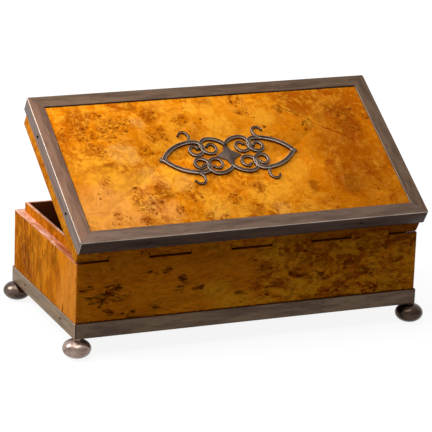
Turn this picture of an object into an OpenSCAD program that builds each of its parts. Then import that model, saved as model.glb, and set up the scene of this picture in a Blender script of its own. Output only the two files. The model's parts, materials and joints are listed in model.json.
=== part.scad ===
// Burl wood box on ball feet, with a silver plinth, a silver framed lid and a wooden finger hinge.
// Millimetres, +Z up. The hinge runs along the rear, towards +Y, and the lid opens at the front.
// The origin is the bottom centre of the bounding box, with the lid held open at lid_angle.

/* [Body] */
// Outer length of the wooden body
body_l = 260; // [200:1:340]
// Outer depth of the wooden body
body_d = 134; // [100:1:200]
// Height of the walls
wall_h = 52.7; // [35:0.1:110]
// Thickness of the walls
wall_t = 6.2; // [5.6:0.1:9]
// Thickness of the base board
base_t = 5; // [3:0.5:8]
// Wood left under the base board's groove
base_ledge = 2.5; // [1.5:0.5:5]
// Depth of the groove that holds the base board
groove_d = 2.5; // [1.5:0.1:3.5]

/* [Lining] */
// Thickness of the lining boards
liner_t = 2.4; // [1.5:0.1:4]
// Height of the lining's lip above the rim
lip_h = 7; // [3:0.5:10]

/* [Lid] */
// Height of the closed lid above the rim
lid_h = 24.2; // [21:0.1:40]
// Thickness of the lid's top board
lid_board_t = 6; // [5:0.5:9]
// Thickness of the burl panel on the lid
panel_t = 0.8; // [0.5:0.1:1.4]
// How far the lid is held open at rest, in degrees
lid_angle = 32; // [5:1:85]

/* [Hinge] */
// Radius of the wooden knuckles, and depth of the hinge axis behind the rear face
knuckle_r = 2.6; // [2.2:0.1:3.4]
// Spacing of the knuckles along the hinge
knuckle_pitch = 30.6; // [20:0.1:40]
// Least length of the lid's end knuckles
end_knuckle_min = 12; // [8:0.5:20]
// Radius of the hinge pin
hinge_pin_r = 0.9; // [0.6:0.1:1.2]
// Length of the wooden plugs that hide the pin's ends
plug_l = 3; // [2:0.5:6]

/* [Silver plinth] */
// Height of the plinth strips
plinth_h = 10.9; // [7:0.1:16]
// Thickness of the plinth's sheet
plinth_t = 0.9; // [0.6:0.1:1.6]
// Width of the flange under the walls
flange_w = 5.5; // [4.5:0.1:8]
// Chamfer along the plinth's top edge
plinth_chamfer = 0.3; // [0.1:0.05:0.5]

/* [Silver lid frame] */
// Width of the frame seen from above
frame_w = 10.6; // [8:0.1:18]
// Height of the frame's side leg
frame_side_h = 11.2; // [8:0.1:14]
// Thickness of the frame's sheet
frame_t = 1.6; // [1:0.1:2.4]
// Chamfer along the frame's outer top edge
frame_chamfer = 0.4; // [0.1:0.05:0.8]
// Bevel along the frame's inner edge
frame_bevel = 0.5; // [0.1:0.05:0.6]

/* [Feet] */
// Height of a foot, from the floor to the plinth
foot_h = 14.1; // [11:0.1:24]
// Radius of the ball
ball_r = 10.15; // [7:0.05:14]
// Half the height of the ball, before its base is flattened
ball_half_h = 6.9; // [5:0.1:12]
// Distance of a foot's axis from each wooden face at its corner
foot_inset = 2.2; // [1.8:0.1:6]
// Radius of the neck under the plinth
neck_r = 3; // [2:0.1:4.5]
// Height of the neck
neck_h = 0.5; // [0.2:0.1:2]
// Radius of the peg that locates the foot
peg_r = 1.2; // [0.6:0.1:1.6]
// How far the peg reaches into the wood
peg_depth = 3; // [2:0.5:8]

/* [Nails] */
// Radius of a nail's head
head_r = 1.1; // [0.8:0.1:1.6]
// Height of a nail's head
head_h = 0.5; // [0.3:0.1:0.8]
// Radius of a nail's shank
shank_r = 0.5; // [0.3:0.05:0.7]
// Length of a nail's shank in the wood
shank_l = 4.4; // [3:0.1:5]
// Distance of the lid's nails from the ends of its long sides
long_nail_inset = 50; // [20:1:80]
// Distance of the lid's nails from the ends of its short sides
short_nail_inset = 31; // [15:1:45]
// Depth of the lid's nails below the top of the frame
frame_nail_drop = 6.2; // [5:0.1:7]
// Distance of the plinth's nails from each corner
plinth_nail_inset = 29; // [15:1:45]

/* [Ornament] */
// Length of the applied scroll ornament
ornament_l = 106; // [60:1:150]
// Width of its widest strap
strap_w = 3.2; // [2.4:0.1:4]
// Height of its strap above the panel
strap_h = 1.9; // [1.2:0.1:3]
// Radius of the pegs that fix it
ornament_peg_r = 0.7; // [0.4:0.1:0.9]

/* [Fits] */
// Gap between the closed lid and the rim, and above the body's knuckles
rim_gap = 0.3; // [0.2:0.05:0.5]
// Gap between the lid's knuckles and the rim under them
under_gap = 0.8; // [0.4:0.05:1.0]
// Gap on each side of a knuckle
knuckle_gap = 0.5; // [0.3:0.05:0.7]
// Gap between the lid and the lining's lip
lip_gap = 0.4; // [0.3:0.05:0.6]
// Radial running clearance of the hinge pin in the lid
pin_clearance = 0.06; // [0.03:0.01:0.1]
// Gap around boards that are let in
board_gap = 0.2; // [0.1:0.05:0.4]

/* [Hidden] */
$fn = 48;

// The sides, by the angle that turns the front to them
front_angle = 0;
right_angle = 90;
rear_angle = 180;
left_angle = 270;
side_angles = [front_angle, right_angle, rear_angle, left_angle];

// One overrun serves every cut
over = 1;

// Levels, from the floor
wall_z = foot_h + plinth_t;
rim_z = wall_z + wall_h;
floor_z = wall_z + base_ledge + base_t;
axis_h = knuckle_r + under_gap;
axis_z = rim_z + axis_h;
notch_z = axis_z + knuckle_r + rim_gap;
lid_z = rim_z + rim_gap;
top_z = rim_z + lid_h;
board_top_z = top_z - frame_t;
rail_top_z = board_top_z - lid_board_t;
axis_y = body_d / 2 - knuckle_r;
rail_t = wall_t - lip_gap;

// The hinge has an odd number of knuckles, and the lid owns both end ones
mid_knuckles = 2 * floor(((body_l - 2 * end_knuckle_min) / knuckle_pitch - 1) / 2) + 1;
function knuckle_x(i) = (i - mid_knuckles / 2) * knuckle_pitch;

// The origin sits midway between the foremost foot and the rearmost point of the open lid
foot_reach = ball_r - foot_inset;
lid_out = knuckle_r + frame_t;
lid_up = lid_h - axis_h;
lid_reach = max(lid_out * cos(lid_angle) + (lid_up - frame_chamfer) * sin(lid_angle),
    (lid_out - frame_chamfer) * cos(lid_angle) + lid_up * sin(lid_angle)) - knuckle_r;
origin_shift = (foot_reach - max(foot_reach, lid_reach)) / 2;

wood = "peru";
cedar = "saddlebrown";
silver = "lightslategray";

function is_long(side_angle) = side_angle % 180 == 0;
function side_l(side_angle) = is_long(side_angle) ? body_l : body_d;
function half_across(side_angle) = side_l(side_angle + 90) / 2;

// Puts a child drawn with its outer face on the X axis, and +Y inwards, on a side of the box
module on_side(side_angle) {
    rotate([0, 0, side_angle])
        translate([0, -half_across(side_angle), 0])
            children();
}

module body_place() {
    translate([0, origin_shift, 0])
        children();
}

// The lid is drawn closed, then swung about the hinge axis
module lid_place() {
    body_place()
        translate([0, axis_y, axis_z])
            rotate([-lid_angle, 0, 0])
                translate([0, -axis_y, -axis_z])
                    children();
}

// A prism from y0 to y1 inwards of a face of this length, with its ends mitred at the corners
module mitre_prism(length, y0, y1, z0, z1) {
    translate([0, 0, z0])
        linear_extrude(z1 - z0)
            polygon([[-length / 2 + y0, y0], [length / 2 - y0, y0],
                [length / 2 - y1, y1], [-length / 2 + y1, y1]]);
}

module along_hinge(radius, x0, x1) {
    translate([x0, axis_y, axis_z])
        rotate([0, 90, 0])
            cylinder(r = radius, h = x1 - x0);
}

module corner_positions() {
    for (sx = [-1, 1], sy = [-1, 1])
        translate([sx * (body_l / 2 - foot_inset), sy * (body_d / 2 - foot_inset), 0])
            children();
}

module foot_bores() {
    corner_positions()
        translate([0, 0, foot_h - over])
            cylinder(r = peg_r, h = plinth_t + peg_depth + over);
}

// Nails of one side, or their bores, pointing inwards from a face that stands proud by out
module nail_row(side_angle, inset, z, out) {
    for (s = [-1, 1])
        on_side(side_angle)
            translate([s * (side_l(side_angle) / 2 - inset), -out, z])
                rotate([-90, 0, 0])
                    children();
}

module nail_bores(side_angle, inset, z, out, depth) {
    nail_row(side_angle, inset, z, out)
        translate([0, 0, -over])
            cylinder(r = shank_r, h = out + depth + over);
}

module nail(out, depth) {
    cylinder(r = shank_r, h = out + depth);
    intersection() {
        translate([0, 0, (head_r * head_r - head_h * head_h) / (2 * head_h)])
            sphere(r = (head_r * head_r + head_h * head_h) / (2 * head_h));
        translate([0, 0, -head_h])
            cylinder(r = head_r, h = head_h);
    }
}

function frame_nail_inset(side_angle) = is_long(side_angle) ? long_nail_inset : short_nail_inset;
frame_nail_z = top_z - frame_nail_drop;
plinth_nail_z = foot_h + plinth_h / 2;

// The plinth's nails are cut short so that they stay clear of the groove for the base board
plinth_nail_depth = min(shank_l, wall_t - groove_d - board_gap);

module wall(side_angle) {
    length = side_l(side_angle);
    difference() {
        on_side(side_angle)
            difference() {
                mitre_prism(length, 0, wall_t, wall_z, rim_z);
                translate([-length / 2, wall_t - groove_d, wall_z + base_ledge])
                    cube([length, groove_d + over, base_t]);
            }
        foot_bores();
        nail_bores(side_angle, plinth_nail_inset, plinth_nail_z, plinth_t, plinth_nail_depth);
    }
}

// A wooden knuckle between x0 and x1: round over the axis, with a web down to the rim
module body_knuckle(x0, x1) {
    along_hinge(knuckle_r, x0, x1);
    translate([x0, body_d / 2 - wall_t, rim_z - over])
        cube([x1 - x0, wall_t, axis_h + over]);
}

module front_wall() {
    color(wood) body_place() wall(front_angle);
}

module right_wall() {
    color(wood) body_place() wall(right_angle);
}

module left_wall() {
    color(wood) body_place() wall(left_angle);
}

module rear_wall() {
    color(wood) body_place()
        difference() {
            union() {
                wall(rear_angle);
                for (i = [0 : 2 : mid_knuckles - 1])
                    body_knuckle(knuckle_x(i) + knuckle_gap, knuckle_x(i + 1) - knuckle_gap);
            }
            along_hinge(hinge_pin_r, -body_l / 2, body_l / 2);
        }
}

module base_board() {
    inset = wall_t - groove_d + board_gap;
    color(cedar) body_place()
        translate([-body_l / 2 + inset, -body_d / 2 + inset, wall_z + base_ledge])
            cube([body_l - 2 * inset, body_d - 2 * inset, base_t]);
}

module liner(side_angle) {
    color(cedar) body_place()
        on_side(side_angle)
            mitre_prism(side_l(side_angle), wall_t, wall_t + liner_t, floor_z, rim_z + lip_h);
}

module front_liner() {
    liner(front_angle);
}

module right_liner() {
    liner(right_angle);
}

module rear_liner() {
    liner(rear_angle);
}

module left_liner() {
    liner(left_angle);
}

module floor_liner() {
    inset = wall_t + liner_t + board_gap;
    color(cedar) body_place()
        translate([-body_l / 2 + inset, -body_d / 2 + inset, floor_z])
            cube([body_l - 2 * inset, body_d - 2 * inset, liner_t]);
}

// Section of a plinth strip: an upright leg outside the wall and a flange under it
plinth_section = [[-plinth_t, 0], [-plinth_t, plinth_h - plinth_chamfer],
    [plinth_chamfer - plinth_t, plinth_h], [0, plinth_h], [0, plinth_t], [flange_w, plinth_t], [flange_w, 0]];

module section_strip(side_angle, section, y0, y1, z0) {
    length = side_l(side_angle) - 2 * y0;
    on_side(side_angle)
        intersection() {
            translate([-length / 2, 0, z0])
                rotate([90, 0, 90])
                    linear_extrude(length)
                        polygon(section);
            mitre_prism(side_l(side_angle), y0, y1, z0 - over, top_z + over);
        }
}

module plinth(side_angle) {
    color(silver) body_place()
        difference() {
            section_strip(side_angle, plinth_section, -plinth_t, flange_w, foot_h);
            foot_bores();
            nail_bores(side_angle, plinth_nail_inset, plinth_nail_z, plinth_t, plinth_nail_depth);
        }
}

module plinth_front() {
    plinth(front_angle);
}

module plinth_right() {
    plinth(right_angle);
}

module plinth_rear() {
    plinth(rear_angle);
}

module plinth_left() {
    plinth(left_angle);
}

module plinth_nails() {
    color(silver) body_place()
        for (side_angle = side_angles)
            nail_row(side_angle, plinth_nail_inset, plinth_nail_z, plinth_t)
                nail(plinth_t, plinth_nail_depth);
}

// Turned foot: an oblate ball with a flattened base, a neck, and a peg into the corner
ball_steps = 20;
ball_z = foot_h - neck_h - ball_half_h;
flat_angle = asin(ball_z / ball_half_h);

module foot(sx, sy) {
    color(silver) body_place()
        translate([sx * (body_l / 2 - foot_inset), sy * (body_d / 2 - foot_inset), 0]) {
            rotate_extrude()
                polygon([[0, 0], for (i = [0 : ball_steps])
                    let (a = -flat_angle + (90 + flat_angle) * i / ball_steps)
                        [ball_r * cos(a), ball_z + ball_half_h * sin(a)]]);
            translate([0, 0, ball_z])
                cylinder(r = neck_r, h = foot_h - ball_z);
            translate([0, 0, ball_z])
                cylinder(r = peg_r, h = foot_h + plinth_t + peg_depth - ball_z);
        }
}

module foot_front_left() {
    foot(-1, -1);
}

module foot_front_right() {
    foot(1, -1);
}

module foot_rear_left() {
    foot(-1, 1);
}

module foot_rear_right() {
    foot(1, 1);
}

module hinge_pin() {
    reach = body_l / 2 - plug_l - rim_gap;
    color("gray") body_place()
        along_hinge(hinge_pin_r, -reach, reach);
}

module lid_bores(side_angle) {
    nail_bores(side_angle, frame_nail_inset(side_angle), frame_nail_z, frame_t, shank_l);
}

module lid_board() {
    color(wood) lid_place()
        difference() {
            translate([-body_l / 2, -body_d / 2, rail_top_z])
                cube([body_l, body_d, lid_board_t]);
            for (side_angle = side_angles)
                lid_bores(side_angle);
            ornament_pegs();
        }
}

// What is cut off below the axis so that the lid's rear edge can turn: all but the round knuckle
module knuckle_relief(y0) {
    difference() {
        translate([-body_l / 2 - over, y0, lid_z - over])
            cube([body_l + 2 * over, body_d / 2 + over - y0, axis_z - lid_z + over]);
        along_hinge(knuckle_r, -body_l / 2 - over, body_l / 2 + over);
    }
}

module rail(side_angle) {
    difference() {
        on_side(side_angle)
            mitre_prism(side_l(side_angle), 0, rail_t, lid_z, rail_top_z);
        along_hinge(hinge_pin_r + pin_clearance, -body_l / 2 - over, body_l / 2 + over);
        children();
    }
}

module lid_front_rail() {
    color(wood) lid_place()
        on_side(front_angle)
            mitre_prism(body_l, 0, rail_t, lid_z, rail_top_z);
}

module lid_right_rail() {
    color(wood) lid_place()
        rail(right_angle)
            knuckle_relief(axis_y);
}

module lid_left_rail() {
    color(wood) lid_place()
        rail(left_angle)
            knuckle_relief(axis_y);
}

module lid_rear_rail() {
    color(wood) lid_place()
        rail(rear_angle) {
            knuckle_relief(body_d / 2 - rail_t - over);
            for (i = [0 : 2 : mid_knuckles - 1])
                translate([knuckle_x(i), body_d / 2 - rail_t - over, lid_z - over])
                    cube([knuckle_pitch, rail_t + 2 * over, notch_z - lid_z + over]);
        }
}

module lid_lining() {
    inset = rail_t + board_gap;
    color(cedar) lid_place()
        translate([-body_l / 2 + inset, -body_d / 2 + inset, rail_top_z - liner_t])
            cube([body_l - 2 * inset, body_d - 2 * inset, liner_t]);
}

module lid_panel() {
    inset = frame_w - frame_t + board_gap;
    color("darkorange") lid_place()
        difference() {
            translate([-body_l / 2 + inset, -body_d / 2 + inset, board_top_z])
                cube([body_l - 2 * inset, body_d - 2 * inset, panel_t]);
            ornament_pegs();
        }
}

// Section of a lid frame strip: a leg down the side and a flange over the board's edge
frame_section = [[-frame_t, lid_h - frame_side_h], [-frame_t, lid_h - frame_chamfer],
    [frame_chamfer - frame_t, lid_h], [frame_w - frame_t - frame_bevel, lid_h],
    [frame_w - frame_t, lid_h - frame_bevel], [frame_w - frame_t, lid_h - frame_t],
    [0, lid_h - frame_t], [0, lid_h - frame_side_h]];

module frame(side_angle) {
    color(silver) lid_place()
        difference() {
            section_strip(side_angle, frame_section, -frame_t, frame_w - frame_t, rim_z);
            lid_bores(side_angle);
        }
}

module frame_front() {
    frame(front_angle);
}

module frame_right() {
    frame(right_angle);
}

module frame_rear() {
    frame(rear_angle);
}

module frame_left() {
    frame(left_angle);
}

module frame_nails() {
    color(silver) lid_place()
        for (side_angle = side_angles)
            nail_row(side_angle, frame_nail_inset(side_angle), frame_nail_z, frame_t)
                nail(frame_t, shank_l);
}

module pin_plugs() {
    color(wood) lid_place() {
        along_hinge(hinge_pin_r + pin_clearance, -body_l / 2, plug_l - body_l / 2);
        along_hinge(hinge_pin_r + pin_clearance, body_l / 2 - plug_l, body_l / 2);
    }
}

// A scroll is a chain of arcs. Each is a radius, as a share of the ornament's length, and a turn in degrees
big_arc_shares = [[0.29, 58], [0.06, 175], [0.042, 150], [0.028, 120]];
inner_arc_shares = [[0.135, -56], [0.066, -170], [0.044, -150], [0.029, -110]];
tendril_arc_shares = [[0.2, -22], [0.06, -80], [0.035, -150]];
// Where each scroll starts, as shares of the length, and the way it sets off in degrees
big_start_shares = [0.47, 0];
inner_start_shares = [0, 0.095];
tendril_start_shares = [0.335, 0.112];
big_heading = 122;
inner_heading = 56;
tendril_heading = 172;
// Widths as shares of the strap's width: at the start of each scroll, at its tip, and of the ball on it
big_width_share = 1;
inner_width_share = 0.88;
tendril_width_share = 0.65;
tip_width_share = 0.5;
ball_width_share = 0.9;
// The lozenge at the centre and the button at each end, as shares of the length
lozenge_long_share = 0.09;
lozenge_wide_share = 0.11;
lozenge_waist_shares = [0.03, 0.04];
button_x_share = 0.478;
button_r_share = 0.022;
peg_x_shares = [-0.46, 0, 0.46];
arc_step = 15;

// Points and headings along a chain of arcs that sets off from p at heading h
function chain(arcs, p, h, i = 0) = i == len(arcs) ? [] :
    let (
        radius = sign(arcs[i][1]) * arcs[i][0] * ornament_l,
        turn = arcs[i][1],
        steps = ceil(abs(turn) / arc_step),
        centre = p + radius * [-sin(h), cos(h)],
        points = [for (k = [1 : steps])
            let (a = h + turn * k / steps) [centre + radius * [sin(a), -cos(a)], a]]
    ) concat(points, chain(arcs, points[steps - 1][0], h + turn, i + 1));

function scroll_line(starts, heading, arcs) =
    concat([[starts * ornament_l, heading]], chain(arcs, starts * ornament_l, heading));

// A strap along a line of points, narrowing to its tip and ending in a ball
module strap(line, width) {
    last = len(line) - 1;
    half = [for (i = [0 : last]) width * (1 - (1 - tip_width_share) * i / last) / 2];
    normal = [for (q = line) [-sin(q[1]), cos(q[1])]];
    polygon(concat([for (i = [0 : last]) line[i][0] + half[i] * normal[i]],
        [for (i = [last : -1 : 0]) line[i][0] - half[i] * normal[i]]));
    translate(line[last][0])
        circle(r = ball_width_share * width / 2);
}

module quarter_ornament() {
    strap(scroll_line(big_start_shares, big_heading, big_arc_shares), big_width_share * strap_w);
    strap(scroll_line(inner_start_shares, inner_heading, inner_arc_shares), inner_width_share * strap_w);
    strap(scroll_line(tendril_start_shares, tendril_heading, tendril_arc_shares),
        tendril_width_share * strap_w);
    polygon(ornament_l * [[0, 0], [lozenge_long_share, 0], lozenge_waist_shares, [0, lozenge_wide_share]]);
    translate([button_x_share * ornament_l, 0])
        circle(r = button_r_share * ornament_l);
}

// Pegs under the ornament, or their bores
module ornament_pegs() {
    for (share = peg_x_shares)
        translate([share * ornament_l, 0, board_top_z - peg_depth])
            cylinder(r = ornament_peg_r, h = peg_depth + panel_t);
}

module ornament() {
    color(silver) lid_place() {
        translate([0, 0, board_top_z + panel_t])
            linear_extrude(strap_h)
                for (sx = [0, 1], sy = [0, 1])
                    mirror([sx, 0])
                        mirror([0, sy])
                            quarter_ornament();
        ornament_pegs();
    }
}

front_wall();
right_wall();
rear_wall();
left_wall();
base_board();
front_liner();
right_liner();
rear_liner();
left_liner();
floor_liner();
plinth_front();
plinth_right();
plinth_rear();
plinth_left();
plinth_nails();
foot_front_left();
foot_front_right();
foot_rear_left();
foot_rear_right();
hinge_pin();
lid_board();
lid_front_rail();
lid_right_rail();
lid_rear_rail();
lid_left_rail();
lid_lining();
lid_panel();
frame_front();
frame_right();
frame_rear();
frame_left();
frame_nails();
pin_plugs();
ornament();
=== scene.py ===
import json
import math

import bmesh
import bpy
from mathutils import Matrix, Vector


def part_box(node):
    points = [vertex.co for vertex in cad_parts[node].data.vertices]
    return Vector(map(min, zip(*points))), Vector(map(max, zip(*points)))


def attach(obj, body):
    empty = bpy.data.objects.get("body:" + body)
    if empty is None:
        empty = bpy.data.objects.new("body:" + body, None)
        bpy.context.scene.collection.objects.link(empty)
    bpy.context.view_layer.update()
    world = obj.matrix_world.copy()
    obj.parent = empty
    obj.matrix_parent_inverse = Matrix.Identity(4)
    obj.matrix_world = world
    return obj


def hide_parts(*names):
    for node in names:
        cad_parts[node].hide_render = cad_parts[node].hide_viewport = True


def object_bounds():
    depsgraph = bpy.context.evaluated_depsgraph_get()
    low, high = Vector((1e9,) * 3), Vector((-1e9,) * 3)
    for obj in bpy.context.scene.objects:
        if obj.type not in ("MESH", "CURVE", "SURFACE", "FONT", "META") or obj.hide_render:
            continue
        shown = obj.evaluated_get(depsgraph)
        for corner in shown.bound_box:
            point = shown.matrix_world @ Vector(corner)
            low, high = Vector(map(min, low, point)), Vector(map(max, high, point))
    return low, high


# Burl wood box on ball feet, with a silver plinth and a silver framed lid, held a little open.
# Lengths in the dictionaries are millimetres, angles are degrees and colours are sRGB hex.

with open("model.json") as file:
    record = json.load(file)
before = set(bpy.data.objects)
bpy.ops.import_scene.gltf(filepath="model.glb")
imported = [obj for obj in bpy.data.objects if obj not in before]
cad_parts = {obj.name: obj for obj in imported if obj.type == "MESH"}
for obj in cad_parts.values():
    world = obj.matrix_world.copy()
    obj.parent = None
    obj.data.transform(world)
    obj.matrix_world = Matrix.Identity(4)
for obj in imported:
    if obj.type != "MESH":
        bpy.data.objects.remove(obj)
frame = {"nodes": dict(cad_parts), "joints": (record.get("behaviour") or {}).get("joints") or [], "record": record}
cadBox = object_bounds()
mm = 0.001
nodes = frame["nodes"]
bodyOf = {node: body for body, members in frame["record"]["behaviour"]["bodies"].items() for node in members}
print("frame loaded:", len(nodes), "nodes")


# Camera

photoCamera = {
    "azimuth": 156.51,  # round the box, where 180 would face the hinge side square on
    "elevation": 17.15,
    "roll": 2.12,
    "distance": 1784.5,  # from the camera to the point it is aimed at
    "aim": (-5.73, -3.0, 65.8),
    "lens": 205.48,  # long, because the box was taken from far off
    "shift": (-0.0129, 0.0147),
}


def placeCamera(look):
    azimuth, elevation = math.radians(look["azimuth"]), math.radians(look["elevation"])
    back = Vector((math.sin(azimuth) * math.cos(elevation),
                   -math.cos(azimuth) * math.cos(elevation), math.sin(elevation)))
    camera = bpy.data.cameras.new("photoCamera")
    camera.lens = look["lens"]
    camera.shift_x, camera.shift_y = look["shift"]
    holder = bpy.data.objects.new("photoCamera", camera)
    holder.rotation_mode = "QUATERNION"
    level = back.to_track_quat("Z", "Y").to_matrix()
    rolled = Matrix.Rotation(math.radians(look["roll"]), 3, back) @ level
    holder.rotation_quaternion = rolled.to_quaternion()
    holder.location = Vector(look["aim"]) * mm + back * look["distance"] * mm
    bpy.context.scene.collection.objects.link(holder)
    bpy.context.scene.camera = holder


placeCamera(photoCamera)
bpy.context.scene.view_settings.view_transform = "Standard"
print("camera placed")


# Colours and nodes

def linear(hexColour):
    channels = [int(hexColour[i:i + 2], 16) / 255 for i in (1, 3, 5)]
    return [c / 12.92 if c <= 0.04045 else ((c + 0.055) / 1.055) ** 2.4 for c in channels] + [1]


def addNode(tree, kind, links=None, **settings):
    # Adds a node with its settings. links gives inputs, by name or number, a socket to join or a value
    node = tree.nodes.new(kind)
    for name, value in settings.items():
        setattr(node, name, value)
    for name, source in (links or {}).items():
        if isinstance(source, bpy.types.NodeSocket):
            tree.links.new(source, node.inputs[name])
        else:
            node.inputs[name].default_value = source
    return node


def perFeature(size):
    return 1 / (size * mm)  # texture scale that gives a pattern of this size in millimetres


def emptyMaterial(name):
    material = bpy.data.materials.new(name)
    material.use_nodes = True
    material.node_tree.nodes.clear()
    return material, material.node_tree


# Burl wood

burlFigure = {
    "mid": "#e98608", "deep": "#b25402", "pale": "#ffa62e", "bloom": "#a04c06", "eye": "#451803",
    "peach": "#ffa94c", "cream": "#ffb957", "smoke": "#7a4206", "red": "#a03808",
    "stretch": (1, 1, 1),
    "comb": (1, 0.3, 0.5),
    # the figure is pushed about: new place, old place, size of one turn, distance
    "pushes": (("bent", "board", 16, 6), ("ragged", "bent", 4.5, 2.4), ("swirled", "board", 36, 15),
               ("curled", "swirled", 8, 3.2), ("crinkled", "board", 2, 0.8)),
    # clouds, coarse to fine: place, size, detail, dark ink and its strength, light ink and its strength
    "clouds": (
        ("swirled", 44, 2, "deep", 0.45, "pale", 0.4),
        ("curled", 12, 3, "deep", 0.4, "pale", 0.5),
        ("ragged", 4, 3, "deep", 0.4, "pale", 0.45),
        ("combed", 1.5, 3, "bloom", 0.14, "pale", 0.16),
    ),
    "cloudFrom": 0.02, "cloudTo": 0.13,  # how far from its mean a noise starts to show, and is full
    "plainBy": 0.6, "plain": (),  # places where the sheet has less figure
    "patches": (), "nests": (), "cracks": (),
    "spotCore": 0.3, "crackCore": 0.4,  # share of its reach that a placed spot or a crack fills
    # how the patches' edges fray: size, weight, and where a patch begins and is full
    "frays": {"soft": (6, 1.4, 0.0, 1.1), "ragged": (3, 1.8, 0.2, 1.0), "flecks": (2, 3, 0.7, 1.25)},
    # leopard spots: place, size, light ink and its strength, dark ink and its strength
    "spots": ("curled", 4.4, "pale", 0.5, "deep", 0.34),
    "spotLight": (0.5, 0.1), "spotNet": (0.4, 0.8),  # where each begins and is full, from a cell's middle
    "contour": 14, "contourLines": 7, "contourFrom": 0.2, "contourBy": 0.04,
    "wildNest": 27, "wildFrom": 0.56, "wildTo": 0.66,  # nests of eyes that no place below asks for
    # eyes in the nests: place, spacing, radius, share of the cells that hold one, darkness
    "knots": (
        ("crinkled", 2.4, 0.55, 0.9, 0.85),
        ("crinkled", 5.2, 1.0, 0.5, 0.8),
        ("curled", 1.6, 0.3, 0.6, 0.6),
    ),
    "strayEyes": 0.012,
    # in radii of the eye: where its skirt and its dark middle begin and are full, and the skirt's strength
    "skirt": (2.3, 1.0, 0.5), "pupil": (1.25, 0.5),
    "bloomSize": 3, "bloomFrom": 0.42, "bloomTo": 0.62, "bloomBy": 0.7,
    "fibreBy": 0.3, "roughness": (0.3, 0.44), "specular": 0.006,
}

# The panel is the brightest sheet, with peach and cream where it has little figure. The peach patches are a
# painted sheen at one corner, and the cream patches are light spots partly tinted as painted sheen
panelBurl = {
    **burlFigure,
    "axes": (0, 1),  # the two directions that the places below are measured in
    "pale": "#ffac2c", "dusk": "#a04a02",
    "wildFrom": 0.65, "wildTo": 0.74,
    "plain": ((-58, 6, 46), (-85, 36, 34), (112, 26, 34), (-5, -42, 26), (-35, -30, 24),
              (-98, -12, 36), (96, 48, 34)),
    "patches": (
        # Dusk patches: the sheet's own deeper tone, partly painted shade towards its darker end
        ("dusk", 0.9, "soft", (
            (101, -47, 16), (1, -53, 9), (-95, -42, 34), (-72, -48, 24), (-92, -8, 36), (-88, 26, 32),
            (48, -48, 12), (20, 8, 14))),
        # Peach patches: painted sheen
        ("peach", 0.9, "soft", (
            (112, 46, 30), (63, 46, 20), (77, 17, 18), (90, 52, 26), (98, 30, 30), (112, 44, 40))),
        # Cream patches: light spots in the veneer, partly painted sheen
        ("cream", 0.8, "soft", (
            (79, -10, 17), (66, 9, 13), (56, 17, 12), (43, 20, 11), (22, 47, 11), (60, -39, 9),
            (-23, 51, 10), (72, 36, 12))),
        ("pale", 0.8, "soft", (
            (-38, -36, 14), (-30, 30, 14), (-44, 52, 12), (48, 10, 14), (-8, 10, 12), (-45, 14, 18),
            (28, 36, 14), (104, 0, 24), (8, -14, 16), (-14, 34, 18), (84, 10, 22), (4, 50, 14),
            (-3, -32, 16), (14, -49, 9), (17, 44, 13), (2, -46, 10))),
        ("smoke", 0.7, "ragged", (
            (-91, -44, 10), (-99, -36, 12), (-101, -22, 15), (-96, -12, 8), (-85, 34, 11),
            (-54, 34, 7), (-63, -55, 8), (58, 26, 10), (92, -2, 5), (60, -56, 8), (-52, -44, 7),
            (-70, -26, 7), (-112, 20, 6))),
        ("red", 0.75, "ragged", (
            (80, 3, 6), (77, 51, 7), (39, 32, 6), (68, -56, 7), (-74, 12, 6), (-101, -14, 7), (-106, -26, 7),
            (-98, 24, 6), (-110, 50, 6), (2, 58, 6))),
    ),
    "nests": (
        (100, -34, 14), (97, -16, 11), (75, -39, 13), (82, -32, 12), (51, -26, 7), (61, -11, 8),
        (25, -38, 9), (42, -30, 7), (37, 32, 11), (37, 23, 7), (75, 29, 11), (73, 37, 13), (77, 51, 8),
        (96, 14, 6), (98, 44, 5), (-22, -55, 9), (-24, -42, 6), (-102, -25, 15), (-99, -36, 11),
        (58, 26, 10), (-15, 52, 6), (114, -30, 8), (8, 38, 9), (-4, 50, 7), (20, 54, 6), (52, 44, 8),
        (88, -50, 8), (48, -44, 7), (-102, 40, 5), (30, 52, 7)),
    # hair cracks: middle, direction, length, width, ink
    "cracks": ((-65, -37, 139, 40, 0.5, "smoke"), (-90, -16, 139, 38, 1.0, "red"),
               (-103, 23, 108, 34, 0.5, "smoke"), (-66, -26, 40, 12, 0.8, "smoke")),
    "knots": (
        ("crinkled", 2.4, 0.55, 0.9, 0.72),
        ("crinkled", 5.2, 1.0, 0.5, 0.7),
        ("curled", 1.6, 0.3, 0.6, 0.5),
    ),
    "end": ("deep", 0, -120, 0.3),  # the sheet darkens from one place to another along its length: partly its own deeper tone, partly painted shade of the light falling off
    "specular": 0.003,
}
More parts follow.
